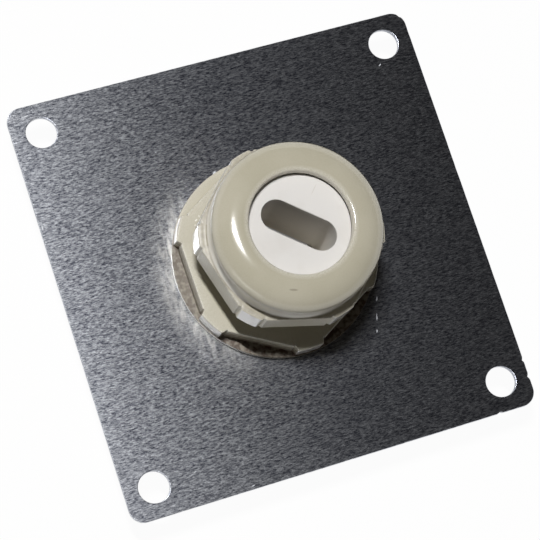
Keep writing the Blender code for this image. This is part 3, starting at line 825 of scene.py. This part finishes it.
# The plate: a sheared rim carried round the outer outline and each hole, between two flat faces.
# A nick pushes the outline in by depth * exp(-(distance / width)^2).
def makePlate(size, material):
    rng = np.random.default_rng(size["raggedSeed"])
    outerSteps, centreSteps, screwSteps = size["steps"]
    outer = squarePath(size["side"], size["cornerRadius"], outerSteps)
    spread = np.ones(size["raggedSpread"]) / size["raggedSpread"]
    shake = np.convolve(np.tile(rng.normal(size=len(outer)), 3), spread, "same")
    push = size["ragged"] * np.abs(shake[len(outer):2 * len(outer)])
    for x, y, depth, width in size["nicks"]:
        push += depth * np.exp(-((outer[:, 0] - x) ** 2 + (outer[:, 1] - y) ** 2) / width ** 2)
    paths = [(outer, push, 1)]
    paths += [(circlePath(0, 0, size["centreHole"], centreSteps), 0, -1)]
    for x, y in np.array([(-1, -1), (-1, 1), (1, -1), (1, 1)]) * size["screwReach"]:
        paths += [(circlePath(x, y, size["screwHole"], screwSteps), 0, -1)]
    u = np.linspace(0, np.pi / 2, 4)
    rimIn = np.concatenate([1 - np.sin(u), 1 - np.sin(u[::-1])]) * size["rim"]
    rimUp = np.concatenate([size["top"] - size["rim"] * (1 - np.cos(u)),
                            size["bottom"] + size["rim"] * (1 - np.cos(u[::-1]))])
    points, quads, topRings, bottomRings, used = [], [], [], [], 0
    for path, inward, side in paths:
        ahead = np.roll(path, -1, 0) - np.roll(path, 1, 0)
        ahead /= np.linalg.norm(ahead, axis=1, keepdims=True)
        outward = side * np.stack([ahead[:, 1], -ahead[:, 0]], 1)
        inset = rimIn[:, None] + inward * np.ones(len(path))[None, :]
        flat = path[None] - inset[:, :, None] * outward[None]
        ring = np.concatenate([flat, np.broadcast_to(rimUp[:, None, None], (*inset.shape, 1))], 2)
        rows, columns = inset.shape
        row, column = np.meshgrid(np.arange(rows - 1), np.arange(columns), indexing="ij")
        beside = (column + 1) % columns
        face = np.stack([row * columns + column, (row + 1) * columns + column,
                         (row + 1) * columns + beside, row * columns + beside], -1).reshape(-1, 4)
        quads.append(used + (face if side > 0 else face[:, ::-1]))
        topRings.append((used + np.arange(columns), ring[0]))
        bottomRings.append((used + (rows - 1) * columns + np.arange(columns), ring[-1]))
        points.append(ring.reshape(-1, 3))
        used += rows * columns
    points = np.concatenate(points) * mm
    faces = np.concatenate(quads).tolist()
    for rings, up in ((topRings, 1), (bottomRings, -1)):
        index = np.concatenate([ids for ids, _ in rings])
        filled = np.array(tessellate_polygon([[Vector(p) for p in ring] for _, ring in rings]))
        triangles = index[filled]
        corner = points[triangles]
        cross = np.cross(corner[:, 1] - corner[:, 0], corner[:, 2] - corner[:, 0])[:, 2]
        triangles = np.where((cross * up < 0)[:, None], triangles[:, ::-1], triangles)
        faces += triangles.tolist()
    mesh = bpy.data.meshes.new("mounting_plate_sheet")
    mesh.from_pydata(points.tolist(), [], faces)
    mesh.shade_smooth()
    mesh.set_sharp_from_angle(angle=np.radians(12))
    uv = mesh.uv_layers.new(name="sheet")
    vertex = np.zeros(len(mesh.loops), np.int32)
    mesh.loops.foreach_get("vertex_index", vertex)
    along = points[vertex][:, [1, 0]] / (size["side"] * mm) + 0.5
    uv.data.foreach_set("uv", along.astype(np.float32).ravel())
    return addPiece("mounting_plate_sheet", mesh, material, "mounting_plate")


nutPlastic = polyamideMaterial("moulded polyamide, dome nut", polyamide, [], domeNut["smudges"])
bodyPlastic = polyamideMaterial("moulded polyamide, body", polyamide, glandBody["rubs"], [])
makeDomeNut(domeNut, nutPlastic)
makeGlandBody(glandBody, bodyPlastic)
makeLockNut(lockNut, bodyPlastic)
makeInsert(sealingInsert, whiteRubberMaterial(rubberWhite))
makeGasket(flangeGasket, blackRubberMaterial(rubberBlack))
makePlate(sheet, aluminiumMaterial(sheetLook))


studio = {
    "floorReach": 3.2,
    "flatReach": 2.2,
    "wallHeight": 0.7,
    "floorColour": "#F2F1EF",
    "whiteness": 0.96,
    "underRing": 0.0137,
    "underShare": 0.13,
    "columns": 96,
    "innermost": 0.0005,
    "worldStrength": 0.015,
    "worldColour": "#FFF0DC",
    "lampTarget": (0.0, 0.0, 0.025),
}


# The floor: a round sheet of paper, flat out to flatReach, whose rim sweeps up as a backdrop along a
# parabola. To the camera and in reflections it is mostly plain white, so shadows on it stay faint.
# Inside underRing, the ring that the part stands on, only underShare of that white is left: painted
# shade under the part.
def makeFloor(size):
    turn = np.arange(size["columns"]) / size["columns"] * turnFull
    radius = np.concatenate([np.linspace(size["innermost"], size["flatReach"], 12),
                             np.linspace(size["flatReach"], size["floorReach"], 14)[1:]])
    lift = np.clip((radius - size["flatReach"]) / (size["floorReach"] - size["flatReach"]), 0, 1) ** 2
    height = lift * size["wallHeight"]
    points = aroundZ(radius[:, None] + 0 * turn, height[:, None] + 0 * turn, turn).reshape(-1, 3)
    rows, columns = len(radius), len(turn)
    row, column = np.meshgrid(np.arange(rows - 1), np.arange(columns), indexing="ij")
    beside = (column + 1) % columns
    quads = np.stack([row * columns + column, (row + 1) * columns + column,
                      (row + 1) * columns + beside, row * columns + beside], -1).reshape(-1, 4)
    mesh = bpy.data.meshes.new("floor")
    mesh.from_pydata(points.tolist(), [], quads.tolist() + [list(range(columns))])
    mesh.shade_smooth()
    material, tree = newMaterial("white studio paper")
    coords = addNode(tree, "ShaderNodeTexCoord").outputs["Object"]
    distance = addNode(tree, "ShaderNodeVectorMath", {"operation": "LENGTH"}, {0: coords}).outputs["Value"]
    outside = addNode(tree, "ShaderNodeMath", {"operation": "GREATER_THAN"}, {
        0: distance, 1: size["underRing"]}).outputs[0]
    path = addNode(tree, "ShaderNodeLightPath").outputs
    seen = addNode(tree, "ShaderNodeMath", {"operation": "MAXIMUM"}, {
        0: path["Is Camera Ray"], 1: path["Is Glossy Ray"]}).outputs[0]
    seenAll = addNode(tree, "ShaderNodeMath", {"operation": "MAXIMUM"}, {
        0: seen, 1: path["Is Transmission Ray"]}).outputs[0]
    openness = addNode(tree, "ShaderNodeMath", {"operation": "MAXIMUM"}, {
        0: outside, 1: size["underShare"]}).outputs[0]
    share = addNode(tree, "ShaderNodeMath", {"operation": "MULTIPLY"}, {0: seenAll, 1: openness}).outputs[0]
    white = addNode(tree, "ShaderNodeMath", {"operation": "MULTIPLY"}, {
        0: share, 1: size["whiteness"]}).outputs[0]
    paper = addNode(tree, "ShaderNodeBsdfDiffuse", inputs={"Color": linearColour(size["floorColour"])})
    glow = addNode(tree, "ShaderNodeEmission", inputs={"Color": (1.0, 1.0, 1.0, 1.0), "Strength": 1.0})
    closeMaterial(tree, addNode(tree, "ShaderNodeMixShader", inputs={
        0: white, 1: paper.outputs[0], 2: glow.outputs[0]}))
    mesh.materials.append(material)
    floor = bpy.data.objects.new("floor", mesh)
    bpy.context.scene.collection.objects.link(floor)


lamps = {
    "key": {"azimuth": 126, "elevation": 74, "distance": 0.8, "size": (0.017, 0.15), "energy": 5.7,
            "mirrored": True},
    "fill": {"azimuth": 210, "elevation": 10, "distance": 0.8, "size": (0.5, 0.2), "energy": 0.62,
             "mirrored": True},
    "side": {"azimuth": 295, "elevation": 10, "distance": 0.8, "size": (0.5, 0.2), "energy": 0.2,
             "mirrored": False},
}


# Soft lamps, each at its distance from the target in its azimuth and elevation, turned to face it.
def addLamps(settings, target):
    for name, lamp in settings.items():
        data = bpy.data.lights.new(name, "AREA")
        data.shape = "RECTANGLE"
        data.size, data.size_y = lamp["size"]
        data.energy = lamp["energy"]
        around, up = np.radians(lamp["azimuth"]), np.radians(lamp["elevation"])
        way = Vector((np.cos(up) * np.cos(around), np.cos(up) * np.sin(around), np.sin(up)))
        light = bpy.data.objects.new(name, data)
        light.location = target + way * lamp["distance"]
        light.rotation_euler = way.to_track_quat("Z", "Y").to_euler()
        light.visible_glossy = lamp["mirrored"]
        bpy.context.scene.collection.objects.link(light)


# The photograph's camera: where it stands, and its right, up and backward directions.
view = {
    "lens": 150.446,
    "sensor": 36.0,
    "place": (-0.114445, -0.078205, 0.433828),
    "right": (0.93063197, -0.31097399, 0.19292311),
    "up": (0.26299411, 0.93489854, 0.23832501),
    "back": (-0.25447641, -0.17105523, 0.9518308),
}


def addCamera(settings):
    data = bpy.data.cameras.new("camera")
    data.sensor_width = settings["sensor"]
    data.lens = settings["lens"]
    data.clip_start, data.clip_end = 0.01, 20.0
    camera = bpy.data.objects.new("camera", data)
    turn = Matrix((settings["right"], settings["up"], settings["back"])).transposed()
    camera.matrix_world = Matrix.Translation(settings["place"]) @ turn.to_4x4()
    bpy.context.scene.collection.objects.link(camera)
    bpy.context.scene.camera = camera


def addWorld(size):
    world = bpy.data.worlds.new("dim studio")
    world.use_nodes = True
    world.node_tree.nodes.clear()
    sky = addNode(world.node_tree, "ShaderNodeBackground", inputs={
        "Color": linearColour(size["worldColour"]), "Strength": size["worldStrength"]})
    addNode(world.node_tree, "ShaderNodeOutputWorld", inputs={"Surface": sky.outputs[0]})
    bpy.context.scene.world = world


makeFloor(studio)
addLamps(lamps, Vector(studio["lampTarget"]))
addCamera(view)
addWorld(studio)
bpy.context.scene.view_settings.view_transform = "Standard"
print("studio ready")
